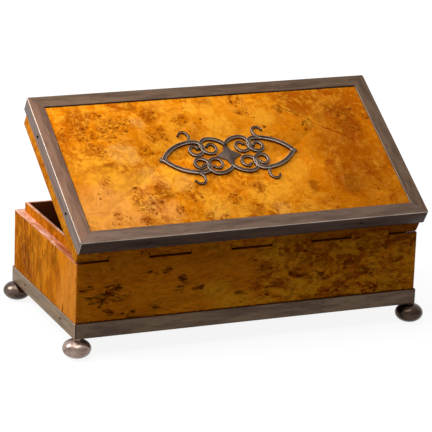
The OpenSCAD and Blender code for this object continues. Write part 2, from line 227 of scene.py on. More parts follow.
# The long sides are a duller sheet, with curls, flecks and nests along all of it
wallBurl = {
    **burlFigure,
    "axes": (0, 2),
    "mid": "#ee8410", "pale": "#ffa820", "deep": "#b05408", "smoke": "#350f03", "bloom": "#963e05",
    "stretch": (0.6, 1, 1),
    "comb": (0.25, 1, 1),
    "clouds": (
        ("swirled", 40, 2, "deep", 0.4, "pale", 0.4),
        ("curled", 9, 4, "deep", 0.65, "pale", 0.75),
        ("ragged", 3, 4, "smoke", 0.45, "pale", 0.8),
        ("combed", 1.5, 3, "smoke", 0.22, "pale", 0.2),
    ),
    "cloudTo": 0.1,
    "knots": (
        ("crinkled", 2.6, 0.6, 0.8, 0.8),
        ("ragged", 6, 1.5, 0.6, 0.75),
        ("curled", 1.8, 0.35, 0.6, 0.6),
    ),
    "plainBy": 0.78, "plain": ((30, 45, 44), (72, 45, 60), (112, 45, 44)),
    "spots": ("curled", 5, "pale", 0.7, "bloom", 0.55),
    "patches": (
        ("pale", 0.85, "soft", (
            (-18, 60, 9), (-39, 33, 10), (-106, 32, 10), (11, 31, 13), (28, 40, 11), (-84, 62, 7))),
        ("smoke", 0.95, "flecks", (
            (112, 41, 10), (121, 50, 7), (104, 49, 7), (71, 33, 5), (51, 51, 5), (54, 44, 5), (41, 43, 5),
            (63, 59, 6), (106, 32, 6), (89, 28, 5), (98, 40, 7), (72, 57, 5))),
        ("smoke", 0.85, "flecks", (
            (-40, 66, 5), (-66, 61, 5), (-76, 50, 7), (-36, 46, 5), (-68, 34, 6), (-105, 63, 5),
            (-10, 50, 5), (-24, 63, 5), (-52, 42, 8), (-88, 40, 7), (-97, 52, 7), (-18, 38, 7))),
    ),
    "nests": (
        (-23, 63, 6), (-14, 51, 7), (-9, 47, 6), (-4, 41, 6), (-10, 34, 6), (-39, 66, 6), (-48, 56, 7),
        (-65, 62, 7), (-76, 50, 9), (-36, 46, 6), (-68, 34, 8), (-75, 32, 6), (-58, 29, 5), (-105, 63, 7),
        (-57, 42, 6), (-90, 42, 7), (-20, 40, 6)),
    "end": ("bloom", 20, -60, 0.05),
    "grime": (25.1, 26.4, 0.9),  # a darker band just above the plinth: full and gone at these heights, and its strength
}
# The lid rail darkens towards one end as a painted shadow under the frame
railShadowBurl = {**wallBurl, "end": ("bloom", 5, -55, 0.65)}  # the same sheet, darker towards one end
# The ends show the figure drawn out upwards
endBurl = {
    **burlFigure,
    "axes": (1, 2),
    "mid": "#e07e10", "pale": "#f79a24", "deep": "#a45204", "smoke": "#3c1c02",
    "stretch": (1, 1, 0.4),
    "comb": (1, 1, 0.6),
    "pushes": (("bent", "board", 16, 3), ("ragged", "bent", 4.5, 1.4), ("swirled", "board", 36, 7),
               ("curled", "swirled", 8, 1.6), ("crinkled", "board", 2, 0.8)),
    "clouds": (
        ("swirled", 40, 2, "deep", 0.4, "pale", 0.4),
        ("curled", 8, 4, "deep", 0.55, "pale", 0.5),
        ("ragged", 2.6, 3, "smoke", 0.32, "pale", 0.5),
        ("combed", 1.5, 2, "smoke", 0.16, "pale", 0.14),
    ),
    "plainBy": 0.6, "plain": ((50, 34, 40), (24, 28, 24)),
    "spots": ("curled", 6, "pale", 0.3, "deep", 0.3),
    "patches": (
        # Painted light and shade: the peach patches lighten the lower part of the face, and the deep patches
        # darken its upper part
        ("peach", 0.5, "soft", ((56, 34, 26), (36, 24, 18))),
        ("deep", 0.75, "soft", ((-52, 46, 34), (-20, 52, 28), (14, 60, 18))),
        ("smoke", 0.75, "flecks", (
            (-23, 58, 11), (-38, 40, 12), (19, 59, 10), (-46, 54, 13), (-11, 52, 11), (25, 54, 8),
            (2, 52, 9), (-30, 48, 10))),
        ("red", 0.5, "soft", ((28, 44, 8), (-30, 34, 7))),
    ),
    "specular": 0.001,
}
lidEndBurl = {**endBurl, "mid": "#f48e18", "pale": "#ffaa30", "deep": "#c46408",
              "plain": (), "patches": ()}
# Rims are the faces that look up. Their paler, pinker colour is a painted sheen, and they show no spots
paintedSheenRimBurl = {
    **burlFigure,
    "axes": (0, 1),
    "mid": "#d8906c", "pale": "#ffd4c4", "deep": "#a8601c",
    "stretch": (1, 0.2, 1),
    "clouds": (
        ("swirled", 12, 3, "deep", 0.6, "pale", 0.6),
        ("ragged", 3, 3, "deep", 0.7, "pale", 0.7),
        ("combed", 1.5, 2, "bloom", 0.4, "pale", 0.4),
    ),
    "spots": ("curled", 4, "pale", 0.0, "deep", 0.0),
    "specular": 0.05,
}


def addSpots(tree, place, look, spots):
    # How deep a point lies in one of the spots, from nothing at a spot's edge to one well inside
    cover = 0
    for u, v, reach in spots:
        centre = [0, 0, 0]
        for axis, value in zip(look["axes"], (u, v)):
            centre[axis] = value * mm * look["stretch"][axis]
        away = addNode(tree, "ShaderNodeVectorMath", {0: place, 1: centre}, operation="DISTANCE")
        inside = addNode(tree, "ShaderNodeMapRange", {
            "Value": away.outputs["Value"], "From Min": reach * mm,
            "From Max": look["spotCore"] * reach * mm}, interpolation_type="SMOOTHSTEP")
        cover = addNode(tree, "ShaderNodeMath", {
            0: cover, 1: inside.outputs[0]}, operation="MAXIMUM").outputs[0]
    return cover


def burlMaterial(name, look):
    # Thuya burl, knife cut into veneer and french polished: clear amber clouds with nests of small dark eyes
    material, tree = emptyMaterial(name)
    board = addNode(tree, "ShaderNodeAttribute", attribute_name="boardPlace").outputs["Vector"]
    at = {"board": addNode(tree, "ShaderNodeMapping", {"Vector": board, "Scale": look["stretch"]}).outputs[0]}
    for place, source, size, by in look["pushes"]:
        noise = addNode(tree, "ShaderNodeTexNoise", {"Vector": at[source], "Scale": perFeature(size)})
        turn = addNode(tree, "ShaderNodeVectorMath", {
            0: noise.outputs["Color"], 1: (0.5, 0.5, 0.5)}, operation="SUBTRACT")
        at[place] = addNode(tree, "ShaderNodeVectorMath", {
            0: turn.outputs[0], 1: (2 * by * mm,) * 3, 2: at[source]}, operation="MULTIPLY_ADD").outputs[0]
    at["combed"] = addNode(tree, "ShaderNodeMapping", {
        "Vector": at["curled"], "Scale": look["comb"]}).outputs[0]
    # Placed spots and cracks are looked up flat on the face, so they go straight through the board
    face = [1 if axis in look["axes"] else 0 for axis in range(3)]
    at["face"] = addNode(tree, "ShaderNodeMapping", {"Vector": at["ragged"], "Scale": face}).outputs[0]
    layers = []  # each cover of ink, from the lowest up

    # Patches where the sheet is paler, deeper or smoky, with frayed edges
    for ink, most, edge, spots in look["patches"]:
        size, weight, begin, finish = look["frays"][edge]
        noise = addNode(tree, "ShaderNodeTexNoise", {
            "Vector": at["combed"], "Scale": perFeature(size), "Detail": 3, "Roughness": 0.6})
        fray = addNode(tree, "ShaderNodeMath", {
            0: noise.outputs["Fac"], 1: 0.5}, operation="SUBTRACT").outputs[0]
        cover = addNode(tree, "ShaderNodeMath", {
            0: fray, 1: weight, 2: addSpots(tree, at["face"], look, spots)}, operation="MULTIPLY_ADD")
        cover = addNode(tree, "ShaderNodeMapRange", {
            "Value": cover.outputs[0], "From Min": begin, "From Max": finish, "To Max": most},
            interpolation_type="SMOOTHSTEP")
        layers.append((cover.outputs[0], ink))

    # Clouds, which are faint where the sheet is plain. The last ones are its fibres
    plain = addSpots(tree, at["face"], look, look["plain"])
    figure = addNode(tree, "ShaderNodeMath", {
        0: plain, 1: -look["plainBy"], 2: 1.0}, operation="MULTIPLY_ADD").outputs[0]
    for where, size, detail, dark, darkBy, light, lightBy in look["clouds"]:
        noise = addNode(tree, "ShaderNodeTexNoise", {
            "Vector": at[where], "Scale": perFeature(size), "Detail": detail, "Roughness": 0.6})
        for side, ink, most in ((-1, dark, darkBy), (1, light, lightBy)):
            cover = addNode(tree, "ShaderNodeMapRange", {
                "Value": noise.outputs["Fac"], "From Min": 0.5 + side * look["cloudFrom"],
                "From Max": 0.5 + side * look["cloudTo"], "To Max": most}, interpolation_type="SMOOTHSTEP")
            cover = addNode(tree, "ShaderNodeMath", {
                0: cover.outputs[0], 1: 1 if where == "combed" else figure}, operation="MULTIPLY")
            layers.append((cover.outputs[0], ink))
    fibre = noise.outputs["Fac"]

    # Leopard spots: light middles, each as strong as its cell is picked, in a deeper net
    where, size, light, lightBy, dark, darkBy = look["spots"]
    cells = addNode(tree, "ShaderNodeTexVoronoi", {"Vector": at[where], "Scale": perFeature(size)})
    pick = addNode(tree, "ShaderNodeSeparateColor", {0: cells.outputs["Color"]})
    strong = addNode(tree, "ShaderNodeMath", {0: pick.outputs[0], 1: figure}, operation="MULTIPLY")
    for (begin, finish), most, ink in ((look["spotLight"], lightBy, light), (look["spotNet"], darkBy, dark)):
        cover = addNode(tree, "ShaderNodeMapRange", {
            "Value": cells.outputs["Distance"], "From Min": begin, "From Max": finish, "To Max": most},
            interpolation_type="SMOOTHSTEP")
        cover = addNode(tree, "ShaderNodeMath", {
            0: cover.outputs[0], 1: strong.outputs[0]}, operation="MULTIPLY")
        layers.append((cover.outputs[0], ink))

    # Some sheets darken along their length. On the panel this is partly painted shade, and on the lid rail it is
    # painted shadow
    if "end" in look:
        ink, begin, finish, most = look["end"]
        along = addNode(tree, "ShaderNodeSeparateXYZ", {0: at["swirled"]})
        cover = addNode(tree, "ShaderNodeMapRange", {
            "Value": along.outputs[0], "From Min": begin * mm, "From Max": finish * mm, "To Max": most},
            interpolation_type="SMOOTHSTEP")
        layers.append((cover.outputs[0], ink))

    # Growth lines, which wind round everything like the contours of a map
    noise = addNode(tree, "ShaderNodeTexNoise", {
        "Vector": at["curled"], "Scale": perFeature(look["contour"]), "Detail": 1})
    lines = addNode(tree, "ShaderNodeMath", {
        0: noise.outputs["Fac"], 1: 2 * math.pi * look["contourLines"]}, operation="MULTIPLY")
    lines = addNode(tree, "ShaderNodeMath", {0: lines.outputs[0]}, operation="SINE")
    cover = addNode(tree, "ShaderNodeMapRange", {
        "Value": lines.outputs[0], "From Min": look["contourFrom"], "To Max": look["contourBy"]},
        interpolation_type="SMOOTHSTEP")
    layers.append((cover.outputs[0], "bloom"))

    # Nests of eyes: a brown bloom, and in it small dark knots, each in a browner skirt
    noise = addNode(tree, "ShaderNodeTexNoise", {
        "Vector": at["swirled"], "Scale": perFeature(look["wildNest"])})
    wild = addNode(tree, "ShaderNodeMapRange", {
        "Value": noise.outputs["Fac"], "From Min": look["wildFrom"], "From Max": look["wildTo"]},
        interpolation_type="SMOOTHSTEP")
    wild = addNode(tree, "ShaderNodeMath", {0: wild.outputs[0], 1: figure}, operation="MULTIPLY")
    nest = addNode(tree, "ShaderNodeMath", {
        0: addSpots(tree, at["face"], look, look["nests"]), 1: wild.outputs[0]},
        operation="MAXIMUM").outputs[0]
    noise = addNode(tree, "ShaderNodeTexNoise", {
        "Vector": at["curled"], "Scale": perFeature(look["bloomSize"]), "Detail": 3})
    cover = addNode(tree, "ShaderNodeMapRange", {
        "Value": noise.outputs["Fac"], "From Min": look["bloomFrom"], "From Max": look["bloomTo"],
        "To Max": look["bloomBy"]}, interpolation_type="SMOOTHSTEP")
    cover = addNode(tree, "ShaderNodeMath", {0: cover.outputs[0], 1: nest}, operation="MULTIPLY")
    layers.append((cover.outputs[0], "bloom"))
    pit = 0
    for where, spacing, radius, share, darkness in look["knots"]:
        cells = addNode(tree, "ShaderNodeTexVoronoi", {"Vector": at[where], "Scale": perFeature(spacing)})
        pick = addNode(tree, "ShaderNodeSeparateColor", {0: cells.outputs["Color"]})
        often = addNode(tree, "ShaderNodeMath", {
            0: nest, 1: share, 2: look["strayEyes"]}, operation="MULTIPLY_ADD")
        chosen = addNode(tree, "ShaderNodeMath", {
            0: pick.outputs[0], 1: often.outputs[0]}, operation="LESS_THAN")
        reach = radius / spacing
        size = addNode(tree, "ShaderNodeMath", {
            0: pick.outputs[1], 1: reach, 2: reach / 2}, operation="MULTIPLY_ADD")
        near = addNode(tree, "ShaderNodeMath", {
            0: cells.outputs["Distance"], 1: size.outputs[0]}, operation="DIVIDE")
        for begin, finish, most, ink in ((*look["skirt"], "bloom"), (*look["pupil"], darkness, "eye")):
            cover = addNode(tree, "ShaderNodeMapRange", {
                "Value": near.outputs[0], "From Min": begin, "From Max": finish, "To Max": most},
                interpolation_type="SMOOTHSTEP")
            cover = addNode(tree, "ShaderNodeMath", {
                0: cover.outputs[0], 1: chosen.outputs[0]}, operation="MULTIPLY")
            layers.append((cover.outputs[0], ink))
        pit = addNode(tree, "ShaderNodeMath", {0: pit, 1: cover.outputs[0]}, operation="MAXIMUM").outputs[0]

    # Hair cracks filled with polish and dirt
    for u, v, direction, length, width, ink in look["cracks"]:
        middleOf, turned = [0, 0, 0], [0, 0, 0]
        for axis, value in zip(look["axes"], (u, v)):
            middleOf[axis] = value * mm * look["stretch"][axis]
        turned[3 - sum(look["axes"])] = math.radians(direction)
        split = addNode(tree, "ShaderNodeMapping", {
            "Vector": at["face"], "Location": middleOf, "Rotation": turned}, vector_type="TEXTURE")
        split = addNode(tree, "ShaderNodeSeparateXYZ", {0: split.outputs[0]})
        cover = 1
        for axis, reach in zip(look["axes"], (length / 2, width)):
            off = addNode(tree, "ShaderNodeMath", {0: split.outputs[axis]}, operation="ABSOLUTE")
            within = addNode(tree, "ShaderNodeMapRange", {
                "Value": off.outputs[0], "From Min": reach * mm, "From Max": look["crackCore"] * reach * mm},
                interpolation_type="SMOOTHSTEP")
            cover = addNode(tree, "ShaderNodeMath", {
                0: cover, 1: within.outputs[0]}, operation="MULTIPLY").outputs[0]
        layers.append((cover, ink))

    # A darker band where the boards meet the plinth
    if "grime" in look:
        low, high, most = look["grime"]
        up = addNode(tree, "ShaderNodeSeparateXYZ", {0: at["crinkled"]}).outputs[2]
        cover = addNode(tree, "ShaderNodeMapRange", {
            "Value": up, "From Min": high * mm, "From Max": low * mm, "To Max": most},
            interpolation_type="SMOOTHSTEP")
        layers.append((cover.outputs[0], "eye"))

    colour = linear(look["mid"])
    for cover, ink in layers:
        colour = addNode(tree, "ShaderNodeMix", {
            0: cover, 6: colour, 7: linear(look[ink])}, data_type="RGBA").outputs[2]
    height = addNode(tree, "ShaderNodeMath", {
        0: fibre, 1: look["fibreBy"], 2: pit}, operation="MULTIPLY_ADD")
    bump = addNode(tree, "ShaderNodeBump", {
        "Height": height.outputs[0], "Strength": 0.3, "Distance": 0.05 * mm}, invert=True)
    rough = addNode(tree, "ShaderNodeMapRange", {
        "Value": fibre, "To Min": look["roughness"][0], "To Max": look["roughness"][1]})
    shader = addNode(tree, "ShaderNodeBsdfPrincipled", {
        "Base Color": colour, "Roughness": rough.outputs[0], "Normal": bump.outputs[0], "IOR": 1.5,
        "Specular IOR Level": look["specular"]})
    addNode(tree, "ShaderNodeOutputMaterial", {0: shader.outputs[0]})
    return material


panelWood = burlMaterial("frenchPolishedBurlPanel", panelBurl)
wallWood = burlMaterial("polishedBurlLongSides", wallBurl)
railShadowWood = burlMaterial("polishedBurlLidRailPaintedShadow", railShadowBurl)
endWood = burlMaterial("polishedBurlEnds", endBurl)
lidEndWood = burlMaterial("polishedBurlLidEnds", lidEndBurl)
paintedSheenRimWood = burlMaterial("burlRimsPaintedSheen", paintedSheenRimBurl)
paintedSheenLongRimWood = burlMaterial("burlLongRimsPaintedSheen", {**paintedSheenRimBurl, "stretch": (0.2, 1, 1)})


# Lining

liningLook = {"ground": "#9a5220", "line": "#5a260c", "ring": 2.2, "stretch": (0.036, 0.036, 1),
              "roughness": 0.6}
levelLook = {**liningLook, "stretch": (0.036, 1, 1)}  # boards that lie flat show their grain across


def liningMaterial(name, look):
    # Cedar, planed, a darker brown than the burl outside: dull, with fine straight grain along the board
    material, tree = emptyMaterial(name)
    place = addNode(tree, "ShaderNodeAttribute", attribute_name="boardPlace").outputs["Vector"]
    along = addNode(tree, "ShaderNodeMapping", {"Vector": place, "Scale": look["stretch"]}).outputs[0]
    grain = addNode(tree, "ShaderNodeTexNoise", {
        "Vector": along, "Scale": perFeature(look["ring"]), "Detail": 4, "Roughness": 0.6}).outputs["Fac"]
    colour = addNode(tree, "ShaderNodeMix", {
        0: grain, 6: linear(look["line"]), 7: linear(look["ground"])}, data_type="RGBA").outputs[2]
    bump = addNode(tree, "ShaderNodeBump", {"Height": grain, "Strength": 0.3, "Distance": 0.1 * mm})
    shader = addNode(tree, "ShaderNodeBsdfPrincipled", {
        "Base Color": colour, "Roughness": look["roughness"], "Normal": bump.outputs[0],
        "Specular IOR Level": 0.2})
    addNode(tree, "ShaderNodeOutputMaterial", {0: shader.outputs[0]})
    return material


liningWood = liningMaterial("darkCedarLining", liningLook)
levelLining = liningMaterial("darkCedarBottom", levelLook)


# Silver

sheetSilver = {
    "clean": "#665347", "dull": "#534238", "stain": "#352820",
    # tarnish, coarse to fine: place, size, detail, from, to, strength, ink
    "tarnish": (
        ("rolled", 5, 5, 0.6, 0.34, 1.0, "dull"),
        ("rolled", 2.8, 4, 0.5, 0.7, 0.45, "dull"),
        ("rolled", 1.4, 2, 0.6, 0.75, 0.5, "stain"),
        ("board", 1.4, 2, 0.68, 0.74, 0.8, "stain"),
    ),
    "rolling": (0.16, 1, 1),  # tarnish and scratches are drawn out along the strip
    "dent": 26, "dentBy": 9, "scratch": 1.4,  # size and weight of the dents, and size of the scratches
    "roughness": (0.36, 0.46), "edge": "#ffffff",  # edge: how bright it mirrors at a grazing angle
}
# The copies below are one tarnished silver, made lighter, warmer, duskier, darker and blacker side by side as
# painted light, painted shade and painted reflections
litPlinthSilver = {**sheetSilver, "clean": "#836845", "dull": "#6e5638"}
warmLitSilver = {**sheetSilver, "clean": "#765948", "dull": "#5e463a"}
duskyShadedSilver = {**sheetSilver, "clean": "#655040", "dull": "#4e3e32"}
darkTarnishAndShadeSilver = {**sheetSilver, "clean": "#5a4a3c", "dull": "#463830", "stain": "#261d18"}
blackShadeSilver = {**sheetSilver, "clean": "#392921", "dull": "#291d17", "stain": "#15100d"}
# Bright edges: real wear, with a painted highlight line on top of it
wornAndHighlightSilver = {**sheetSilver, "clean": "#a49488", "dull": "#84766a", "dentBy": 0, "roughness": (0.3, 0.4)}
rubbedAndHighlightSilver = {**wornAndHighlightSilver, "clean": "#776a61", "dull": "#675c53", "stain": "#544b42"}
castSilver = {**sheetSilver, "clean": "#54463c", "dull": "#3c312a", "dentBy": 0, "roughness": (0.3, 0.4)}
# Nail heads: soot, partly painted shade, with no grazing reflection
sootAndShadeSilver = {**sheetSilver, "clean": "#0a0706", "dull": "#080605", "stain": "#060404",
               "edge": "#000000"}
footSilver = {**sheetSilver, "clean": "#a08b80", "dull": "#6f5d54", "dentBy": 4, "roughness": (0.22, 0.3)}
# Darker copies of the foot silver: painted reflections
dimReflectionFootSilver = {**footSilver, "clean": "#6b5a50", "dull": "#3f332c"}
darkReflectionFootSilver = {**footSilver, "clean": "#4a3a32", "dull": "#281f1a"}


def silverMaterial(name, look):
    # Silver, rolled, cast or turned, then tarnished for decades: a warm brown grey, streaked along the strip
    material, tree = emptyMaterial(name)
    at = {"board": addNode(tree, "ShaderNodeAttribute", attribute_name="boardPlace").outputs["Vector"]}
    at["rolled"] = addNode(tree, "ShaderNodeMapping", {
        "Vector": at["board"], "Scale": look["rolling"]}).outputs[0]
    colour = linear(look["clean"])
    for where, size, detail, begin, finish, most, ink in look["tarnish"]:
        noise = addNode(tree, "ShaderNodeTexNoise", {
            "Vector": at[where], "Scale": perFeature(size), "Detail": detail, "Roughness": 0.6})
        cover = addNode(tree, "ShaderNodeMapRange", {
            "Value": noise.outputs["Fac"], "From Min": begin, "From Max": finish, "To Max": most},
            interpolation_type="SMOOTHSTEP")
        colour = addNode(tree, "ShaderNodeMix", {
            0: cover.outputs[0], 6: colour, 7: linear(look[ink])}, data_type="RGBA").outputs[2]
    low, high = look["roughness"]
    rough = addNode(tree, "ShaderNodeMapRange", {
        "Value": noise.outputs["Fac"], "To Min": low, "To Max": high})
    dents = addNode(tree, "ShaderNodeTexNoise", {
        "Vector": at["board"], "Scale": perFeature(look["dent"]), "Detail": 1})
    scratches = addNode(tree, "ShaderNodeTexNoise", {
        "Vector": at["rolled"], "Scale": perFeature(look["scratch"]), "Detail": 3})
    relief = addNode(tree, "ShaderNodeMath", {
        0: dents.outputs["Fac"], 1: look["dentBy"], 2: scratches.outputs["Fac"]}, operation="MULTIPLY_ADD")
    bump = addNode(tree, "ShaderNodeBump", {
        "Height": relief.outputs[0], "Strength": 0.4, "Distance": 0.02 * mm})
    shader = addNode(tree, "ShaderNodeBsdfPrincipled", {
        "Base Color": colour, "Metallic": 1.0, "Roughness": rough.outputs[0],
        "Specular Tint": linear(look["edge"]), "Normal": bump.outputs[0]})
    addNode(tree, "ShaderNodeOutputMaterial", {0: shader.outputs[0]})
    return material


sheetMetal = silverMaterial("tarnishedSheetSilver", sheetSilver)
litPlinthMetal = silverMaterial("tarnishedPlinthSilverPaintedLight", litPlinthSilver)
warmLitMetal = silverMaterial("tarnishedSheetSilverPaintedWarmLight", warmLitSilver)
duskyShadedMetal = silverMaterial("tarnishedSheetSilverPaintedDuskyShade", duskyShadedSilver)
darkTarnishAndShadeMetal = silverMaterial("darkTarnishedSilverAndPaintedShade", darkTarnishAndShadeSilver)
blackShadeMetal = silverMaterial("tarnishedSheetSilverPaintedBlackShade", blackShadeSilver)
wornAndHighlightMetal = silverMaterial("wornSilverEdgeAndPaintedHighlight", wornAndHighlightSilver)
rubbedAndHighlightMetal = silverMaterial("silverEdgeRubbedAndPaintedHighlight", rubbedAndHighlightSilver)
castMetal = silverMaterial("castSilverScrolls", castSilver)
nailSootAndShadeMetal = silverMaterial("sootySilverNailPaintedShade", sootAndShadeSilver)
footMetal = silverMaterial("turnedSilverFoot", footSilver)
dimReflectionFootMetal = silverMaterial("turnedSilverFootPaintedDimReflection", dimReflectionFootSilver)
darkReflectionFootMetal = silverMaterial("turnedSilverFootPaintedDarkReflection", darkReflectionFootSilver)
print("materials made:", len(bpy.data.materials))


# Boards and strips are cut from the frame's own solids, with the lid shut, and their edges are softened

hinge = frame["joints"][0]
hingeLine = Matrix.Translation(hinge["pos_m"])
openBy = math.radians(-hinge["range_deg"][0])  # how far the lid stands open at rest
openLid = hingeLine @ Matrix.Rotation(-openBy, 4, "X") @ hingeLine.inverted()
shutLid = openLid.inverted()

bodyLow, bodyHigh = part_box("front_wall")[0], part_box("rear_wall")[1]
middle = Vector(((bodyLow.x + bodyHigh.x) / 2, (bodyLow.y + bodyHigh.y) / 2, 0))
halfLength, halfDepth = (bodyHigh.x - bodyLow.x) / 2, (bodyHigh.y - bodyLow.y) / 2

edges = {
    "wood": 0.35, "knuckle": 0.35, "silver": 0.2, "segments": 2,  # how far each kind of edge is softened
    "woodCorner": 2.0, "silverCorner": 1.2, "cornerCuts": 4,  # radius of the upright corners
    "weld": 0.002, "cutSlack": 0.001,  # points closer than these are one point
    "flatTo": 1, "sharpFrom": 35, "smoothTo": 32,  # degrees: one face, an edge to soften, smooth shading
}
# Limits on one direction of a face's normal, which sort the faces into kinds
lean = {"mitre": 0.6, "upright": 0.5, "rim": 0.7, "level": 0.99, "square": 0.98,
        "outwards": 0.5, "knuckle": 0.3, "nailTip": 0.975}


def shutMesh(node):
    mesh = bmesh.new()
    mesh.from_mesh(nodes[node].data)
    if bodyOf[node] == "lid":
        bmesh.ops.transform(mesh, matrix=shutLid, verts=mesh.verts)
    bmesh.ops.remove_doubles(mesh, verts=mesh.verts, dist=edges["weld"] * mm)
    bmesh.ops.dissolve_limit(mesh, angle_limit=math.radians(edges["flatTo"]),
                             verts=mesh.verts, edges=mesh.edges)
    return mesh


def isMitre(face):
    return min(abs(face.normal.x), abs(face.normal.y)) > lean["mitre"]


def softenEdges(mesh, width):
    # Rounds the sharp outer edges, but not the mitres, which stay closed
    mesh.normal_update()
    sharp = [e for e in mesh.edges if len(e.link_faces) == 2 and e.is_convex
             and e.calc_face_angle() > math.radians(edges["sharpFrom"])
             and not any(isMitre(f) for f in e.link_faces)]
    bmesh.ops.bevel(mesh, geom=sharp, offset=width * mm, offset_type="OFFSET", affect="EDGES",
                    segments=edges["segments"], profile=0.5, clamp_overlap=True)


def roundCorners(mesh, radius, proud=0):
    # Turns the upright corners, whichever pieces meet there. proud: how far these stand off the walls
    reach = Vector((halfLength + proud, halfDepth + proud))
    for axis in (0, 1):
        for side in (-1, 1):
            for k in range(edges["cornerCuts"] + 1):
                normal = Vector((0, 0, 0))
                normal[axis] = 1
                point = middle.copy()
                point[axis] += side * (reach[axis] - radius * k / edges["cornerCuts"])
                bmesh.ops.bisect_plane(mesh, geom=mesh.verts[:] + mesh.edges[:] + mesh.faces[:],
                                       plane_co=point, plane_no=normal, dist=edges["cutSlack"] * mm)
    for vert in mesh.verts:
        out = [abs(vert.co[i] - middle[i]) - (reach[i] - radius) for i in (0, 1)]
        if min(out) > 0:
            pull = max(out) / math.hypot(*out)
            for i in (0, 1):
                side = math.copysign(1, vert.co[i] - middle[i])
                vert.co[i] = middle[i] + side * (reach[i] - radius + out[i] * pull)


def finishPiece(mesh, name, node, materials):
    # Turns a shut mesh into a piece that takes the node's place, with the pattern's place kept on each point
    data = bpy.data.meshes.new(name)
    if bodyOf[node] == "lid":
        bmesh.ops.transform(mesh, matrix=openLid, verts=mesh.verts)
    mesh.to_mesh(data)
    mesh.free()
    for material in materials:
        data.materials.append(material)
    data.polygons.foreach_set("use_smooth", [True] * len(data.polygons))
    data.set_sharp_from_angle(angle=math.radians(edges["smoothTo"]))
    piece = bpy.data.objects.new(name, data)
    bpy.context.scene.collection.objects.link(piece)
    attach(piece, bodyOf[node])
    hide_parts(node)


def keepPlace(mesh, offset):
    layer = mesh.verts.layers.float_vector.new("boardPlace")
    for vert in mesh.verts:
        vert[layer] = vert.co + Vector(offset) * mm


def addRings(mesh, rings, finishes=None):
    # Skins closed rings of points one after another, with both ends filled. finishes: each band's material
    made = [[mesh.verts.new(p) for p in ring] for ring in rings]
    count = len(made[0])
    for one, two in zip(made, made[1:]):
        for j in range(count):
            face = mesh.faces.new((one[j], one[(j + 1) % count], two[(j + 1) % count], two[j]))
            face.material_index = finishes[j] if finishes else 0
    mesh.faces.new(made[0][::-1])
    mesh.faces.new(made[-1])


def addTurned(mesh, centre, outline, around):
    # Turns an outline of radii and heights round an upright line
    turns = [2 * math.pi * j / around for j in range(around)]
    addRings(mesh, [[(centre.x + r * math.cos(t), centre.y + r * math.sin(t), z) for t in turns]
                    for r, z in outline])


boards = {
    # node: material of its shown faces, material of its inner faces, softening, pattern offset
    "front_wall": (wallWood, liningWood, "wood", (0, 0, 0)),
    "right_wall": (endWood, liningWood, "wood", (0, 0, 0)),
    "rear_wall": (wallWood, liningWood, "knuckle", (0, 0, 0)),
    "left_wall": (endWood, liningWood, "wood", (0, 60, 0)),
    "front_liner": (endWood, liningWood, "wood", (0, 0, 140)),
    "right_liner": (endWood, liningWood, "wood", (0, 0, 170)),
    "rear_liner": (endWood, liningWood, "wood", (0, 0, 200)),
    "left_liner": (endWood, liningWood, "wood", (0, 0, 230)),
    "base_board": (levelLining, levelLining, "wood", (0, 0, 0)),
    "floor_liner": (levelLining, levelLining, "wood", (0, 30, 0)),
    "lid_board": (lidEndWood, liningWood, "wood", (0, 0, 320)),
    "lid_front_rail": (wallWood, liningWood, "wood", (0, 0, 0)),
    "lid_right_rail": (lidEndWood, liningWood, "wood", (0, 0, 380)),
    "lid_rear_rail": (railShadowWood, liningWood, "knuckle", (0, 0, 0)),
    "lid_left_rail": (endWood, liningWood, "wood", (0, 0, 410)),
    "lid_lining": (levelLining, levelLining, "wood", (0, 80, 0)),
    "lid_panel": (panelWood, panelWood, "wood", (0, 0, 0)),
    "pin_plugs": (endWood, endWood, "knuckle", (0, 0, 440)),
}


def camelName(node):
    first, *rest = node.split("_")
    return first + "".join(word.capitalize() for word in rest)


hingeShade = {"reach": 5, "knuckle": 2.8}  # how far from the hinge's axis the painted shade lies, and how far a knuckle shows


def isInGap(face):
    # The faces that close in on one another round the hinge take the dark inner wood as painted shade
    x, y, z = face.normal
    away = (face.calc_center_median() - Vector(hinge["pos_m"])).yz.length
    aside = abs(x) > lean["knuckle"] or (abs(z) > lean["knuckle"] and away > hingeShade["knuckle"] * mm)
    return away < hingeShade["reach"] * mm and (y < lean["outwards"] or aside)


def makeBoards():
    for node, (outer, inner, softening, offset) in boards.items():
        mesh = shutMesh(node)
        if node != "pin_plugs":
            softenEdges(mesh, edges[softening])
        mesh.normal_update()
        for face in mesh.faces:
            centre = face.calc_center_median() - middle
            inwards = centre.xy.dot(face.normal.xy) < 0 and abs(face.normal.z) < lean["upright"]
            # Faces that look up on walls and liners take the rims' painted sheen
            rim = face.normal.z > lean["rim"] and node.endswith(("wall", "liner")) and outer != levelLining
            # Gap faces round the hinge take the inner material as painted shade
            inGap = softening == "knuckle" and isInGap(face)
            face.material_index = 1 if inwards or inGap else 2 if rim else 0
        keepPlace(mesh, offset)
        if node.endswith(("wall", "rail")) or node == "lid_board":
            roundCorners(mesh, edges["woodCorner"] * mm)
        rimSheenFinish = paintedSheenLongRimWood if node.startswith(("front", "rear")) else paintedSheenRimWood
        finishPiece(mesh, camelName(node), node, (outer, inner, rimSheenFinish))


def keepStripPlace(mesh, side):
    # The pattern's first direction runs along the strip
    layer = mesh.verts.layers.float_vector.new("boardPlace")
    for vert in mesh.verts:
        x, y, z = vert.co
        vert[layer] = (x, y, z) if side in ("front", "rear") else (y, x, z)


